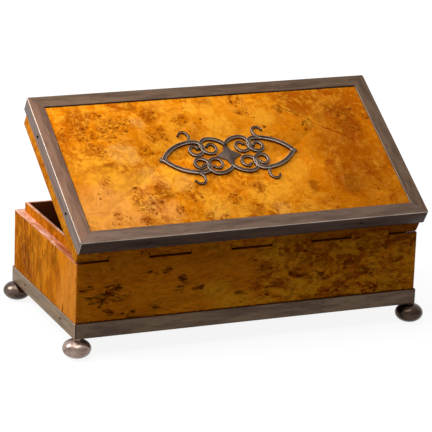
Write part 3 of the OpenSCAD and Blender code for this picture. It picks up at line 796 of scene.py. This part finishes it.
strips = {
    # strip: metals of its level faces, its upright faces, its outer edges and the faces turned inwards. The black
    # and dark copies on the hinge side and on the inward faces are painted shade and painted dark reflections
    "plinth_front": (litPlinthMetal, litPlinthMetal, wornAndHighlightMetal, blackShadeMetal),
    "plinth_right": (litPlinthMetal, litPlinthMetal, wornAndHighlightMetal, blackShadeMetal),
    "plinth_rear": (blackShadeMetal, darkTarnishAndShadeMetal, blackShadeMetal, blackShadeMetal),
    "plinth_left": (litPlinthMetal, litPlinthMetal, wornAndHighlightMetal, blackShadeMetal),
    "frame_front": (duskyShadedMetal, sheetMetal, wornAndHighlightMetal, blackShadeMetal),
    "frame_right": (warmLitMetal, warmLitMetal, rubbedAndHighlightMetal, blackShadeMetal),
    "frame_rear": (sheetMetal, blackShadeMetal, wornAndHighlightMetal, blackShadeMetal),
    "frame_left": (duskyShadedMetal, sheetMetal, wornAndHighlightMetal, darkTarnishAndShadeMetal),
}


def makeStrips():
    for node, metals in strips.items():
        kind, side = node.split("_")
        low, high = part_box(kind + "_front")[0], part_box(kind + "_rear")[1]
        proud = (high.x - low.x) / 2 - halfLength
        mesh = shutMesh(node)
        softenEdges(mesh, edges["silver"])
        keepStripPlace(mesh, side)
        roundCorners(mesh, edges["silverCorner"] * mm, proud)
        mesh.normal_update()
        for face in mesh.faces:
            outwards = [n * c for n, c in zip(face.normal.xy, (face.calc_center_median() - middle).xy)]
            level = abs(face.normal.z) > lean["level"]
            slanted = (max(abs(n) for n in face.normal) < lean["square"]
                       and (not isMitre(face) or min(outwards) > 0))
            # Hinge-side faces and inward faces take darker copies as painted shade
            face.material_index = 0 if level else 3 if sum(outwards) < 0 else 2 if slanted else 1
        finishPiece(mesh, camelName(node), node, metals)


makeBoards()
makeStrips()
print("boards and strips made:", len(boards) + len(strips))


# Feet

foot = {
    "ballHalfHeight": 6.9, "neckRadius": 3, "neckHeight": 0.5, "around": 64, "up": 40,
    # each foot takes its own copy of the silver, lighter or darker, as painted reflections of light and dark
    # surroundings
    "metals": {"foot_front_left": dimReflectionFootMetal, "foot_front_right": dimReflectionFootMetal,
               "foot_rear_left": darkReflectionFootMetal, "foot_rear_right": footMetal},
}


def makeFeet(look):
    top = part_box("plinth_front")[0].z
    half = look["ballHalfHeight"] * mm
    ballUp = top - look["neckHeight"] * mm - half
    for node, metal in look["metals"].items():
        low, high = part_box(node)
        centre = (low + high) / 2
        radius = (high.x - low.x) / 2
        begin = -math.asin(ballUp / half)  # the ball is turned flat where it stands
        finish = math.acos(look["neckRadius"] * mm / radius)
        outline = []
        for k in range(look["up"] + 1):
            a = begin + (finish - begin) * k / look["up"]
            outline.append((radius * math.cos(a), ballUp + half * math.sin(a)))
        outline.append((look["neckRadius"] * mm, top))
        mesh = bmesh.new()
        addTurned(mesh, centre, outline, look["around"])
        keepPlace(mesh, (0, 0, 0))
        finishPiece(mesh, camelName(node), node, (metal,))


makeFeet(foot)


# Nails and the hinge pin are cut from the frame's own solids as well

rods = {
    # node: metal, metal of the tips that face the hinge side (a painted glint on the frame nails), record's slot
    "plinth_nails": (darkTarnishAndShadeMetal, darkTarnishAndShadeMetal, "silver_sheet"),
    "frame_nails": (nailSootAndShadeMetal, wornAndHighlightMetal, "silver_sheet"),
    "hinge_pin": (darkTarnishAndShadeMetal, darkTarnishAndShadeMetal, "steel_pin"),
}


def makeRods():
    for node, (metal, tip, slot) in rods.items():
        mesh = shutMesh(node)
        mesh.normal_update()
        for face in mesh.faces:
            # Tips that face the hinge side take their own metal, which is a painted glint on the frame nails
            face.material_index = 1 if face.normal.y > lean["nailTip"] else 0
        keepPlace(mesh, (0, 0, 0))
        finishPiece(mesh, camelName(node), node, (metal, tip))


makeRods()
print("feet and nails made")


# Ornament: four mirrored quarters of tapering scrolls, each a chain of arcs of (radius share, turn)

ornament = {
    "length": 106, "strap": 3.2, "height": 1.9, "tipWidth": 0.5, "ballWidth": 0.9, "arcStep": 6,
    "scrolls": (
        # start shares, heading, width share, arcs
        ((0.47, 0), 122, 1, ((0.29, 58), (0.06, 175), (0.042, 150), (0.028, 120))),
        ((0, 0.095), 56, 0.88, ((0.135, -56), (0.066, -170), (0.044, -150), (0.029, -110))),
        ((0.335, 0.112), 172, 0.65, ((0.2, -22), (0.06, -80), (0.035, -150))),
    ),
    "rise": (0.72, 0.28),  # share of the height that every strap has, and that a full strap adds
    "lozenge": ((0.09, 0), (0.03, 0.04), (0, 0.11)),
    "lozengeLevels": ((1, 0), (1, 0.45), (0.12, 1)),  # share of its outline, at which share of the height
    "button": (0.478, 0.022), "domeRings": 7, "domeAround": 24,
    # half of the strap's section, from its foot to its middle: shares of half its width and of its height
    "section": ((1, 0), (1, 0.78), (0.9, 0.96), (0.72, 1), (0.5, 0.72), (0, 0.62)),
    "wornAndHighlightBands": (1, 2),  # the bands of the section that are bright: partly rubbed by hands, partly a painted highlight
}


def scrollPoints(look, start, heading, arcs):
    length = look["length"] * mm
    at = Vector(start) * length
    h = math.radians(heading)
    points = [(at.copy(), h)]
    for share, turn in arcs:
        radius = math.copysign(share * length, turn)
        centre = at + radius * Vector((-math.sin(h), math.cos(h)))
        steps = math.ceil(abs(turn) / look["arcStep"])
        for k in range(1, steps + 1):
            a = h + math.radians(turn) * k / steps
            points.append((centre + radius * Vector((math.sin(a), -math.cos(a))), a))
        at, h = points[-1]
    return points


def addDome(mesh, look, centre, radius, height, ground):
    climb = [math.pi / 2 * k / look["domeRings"] for k in range(look["domeRings"])]
    outline = [(radius * math.cos(a), ground + height * math.sin(a)) for a in climb]
    addTurned(mesh, centre, outline, look["domeAround"])


def makeOrnament(look):
    panel = shutMesh("lid_panel")
    ground = max(v.co.z for v in panel.verts)
    panel.free()
    mesh = bmesh.new()
    height, strap = look["height"] * mm, look["strap"] * mm
    flatRise, strapRise = look["rise"]
    section = look["section"] + tuple((-across, up) for across, up in look["section"][-2::-1])
    bands = len(look["section"]) - 1
    # Bright bands take the worn metal, which is wear and painted highlight
    bandFinishes = [1 if min(j, 2 * bands - 1 - j) in look["wornAndHighlightBands"] else 0 for j in range(len(section))]
    for mirrorX in (1, -1):
        for mirrorY in (1, -1):
            flip = Vector((mirrorX, mirrorY))
            for start, heading, share, arcs in look["scrolls"]:
                line = scrollPoints(look, start, heading, arcs)
                width = strap * share
                rings = []
                for i, (point, h) in enumerate(line):
                    half = width * (1 - (1 - look["tipWidth"]) * i / (len(line) - 1)) / 2
                    rise = height * (flatRise + strapRise * half / (strap / 2))
                    side = Vector((-math.sin(h), math.cos(h)))
                    spots = [(middle.xy + (point + side * half * across) * flip, up)
                             for across, up in section]
                    rings.append([(flat.x, flat.y, ground + rise * up) for flat, up in spots])
                addRings(mesh, rings, bandFinishes)
                tip = line[-1][0] * flip
                addDome(mesh, look, middle.xy + tip, look["ballWidth"] * width / 2, height, ground)
    for side in (1, -1):
        x, radius = look["button"]
        addDome(mesh, look, middle.xy + Vector((side * x * look["length"] * mm, 0)),
                radius * look["length"] * mm, height, ground)
    quarter = [Vector(p) * look["length"] * mm for p in look["lozenge"]]
    outline = (quarter + [Vector((-p.x, p.y)) for p in quarter[-2:0:-1]]
               + [Vector((-p.x, -p.y)) for p in quarter[:2]]
               + [Vector((p.x, -p.y)) for p in quarter[2:0:-1]])
    addRings(mesh, [[(middle.x + p.x * s, middle.y + p.y * s, ground + height * z) for p in outline]
                    for s, z in look["lozengeLevels"]])
    bmesh.ops.recalc_face_normals(mesh, faces=mesh.faces)
    keepPlace(mesh, (0, 0, 0))
    finishPiece(mesh, "scrollOrnament", "ornament", (castMetal, wornAndHighlightMetal))


makeOrnament(ornament)
print("ornament made")


# Studio

studioFloor = {"size": 12000, "colour": "#6e6e6e", "near": 250, "far": 900, "nearGlow": 0.9, "farGlow": 1.0}
room = {"ambient": 0.13}
lamps = {
    # direction from the box, distance, size, and watts
    "overheadSoftbox": ((0.2, 0.1, 0.97), 1000, (1000, 800), 8.5),
    "leftSoftbox": ((0.72, -0.3, 0.63), 1100, (450, 450), 8.0),
}


def seenRay(tree):
    # One where the camera looks, and in what metal and glass mirror
    ray = addNode(tree, "ShaderNodeLightPath").outputs
    seen = ray["Is Camera Ray"]
    for name in ("Is Glossy Ray", "Is Transmission Ray"):
        seen = addNode(tree, "ShaderNodeMath", {0: seen, 1: ray[name]}, operation="MAXIMUM").outputs[0]
    return seen


def makeFloor(look):
    material, tree = emptyMaterial("paleStudioFloor")
    place = addNode(tree, "ShaderNodeTexCoord").outputs["Object"]
    away = addNode(tree, "ShaderNodeVectorMath", {0: place}, operation="LENGTH").outputs["Value"]
    glow = addNode(tree, "ShaderNodeMapRange", {
        "Value": away, "From Min": look["near"] * mm, "From Max": look["far"] * mm,
        "To Min": look["nearGlow"], "To Max": look["farGlow"]}).outputs[0]
    glow = addNode(tree, "ShaderNodeMath", {0: glow, 1: seenRay(tree)}, operation="MULTIPLY").outputs[0]
    diffuse = addNode(tree, "ShaderNodeBsdfDiffuse", {"Color": linear(look["colour"])})
    emission = addNode(tree, "ShaderNodeEmission", {"Color": (1, 1, 1, 1), "Strength": glow})
    both = addNode(tree, "ShaderNodeAddShader", {0: diffuse.outputs[0], 1: emission.outputs[0]})
    addNode(tree, "ShaderNodeOutputMaterial", {0: both.outputs[0]})
    half = look["size"] * mm / 2
    data = bpy.data.meshes.new("studioFloor")
    corners = [(-half, -half, 0), (half, -half, 0), (half, half, 0), (-half, half, 0)]
    data.from_pydata(corners, [], [(0, 1, 2, 3)])
    data.materials.append(material)
    floor = bpy.data.objects.new("studioFloor", data)
    bpy.context.scene.collection.objects.link(floor)


def makeRoom(look):
    world = bpy.data.worlds.new("whiteRoom")
    world.use_nodes = True
    tree = world.node_tree
    tree.nodes.clear()
    strength = addNode(tree, "ShaderNodeMapRange", {
        "Value": seenRay(tree), "To Min": look["ambient"], "To Max": 1.0})
    background = addNode(tree, "ShaderNodeBackground", {
        "Color": (1, 1, 1, 1), "Strength": strength.outputs[0]})
    addNode(tree, "ShaderNodeOutputWorld", {0: background.outputs[0]})
    bpy.context.scene.world = world


def makeLamps():
    aim = Vector((0, 0, (cadBox[0].z + cadBox[1].z) / 2))
    for name, (direction, distance, size, watts) in lamps.items():
        lamp = bpy.data.lights.new(name, "AREA")
        lamp.shape = "RECTANGLE"
        lamp.size, lamp.size_y = [s * mm for s in size]
        lamp.energy = watts
        holder = bpy.data.objects.new(name, lamp)
        towards = Vector(direction).normalized()
        holder.location = aim + towards * distance * mm
        holder.rotation_mode = "QUATERNION"
        holder.rotation_quaternion = towards.to_track_quat("Z", "Y")
        holder.visible_camera = False
        bpy.context.scene.collection.objects.link(holder)


makeFloor(studioFloor)
makeRoom(room)
makeLamps()
print("studio lit with", len(lamps), "lamps")
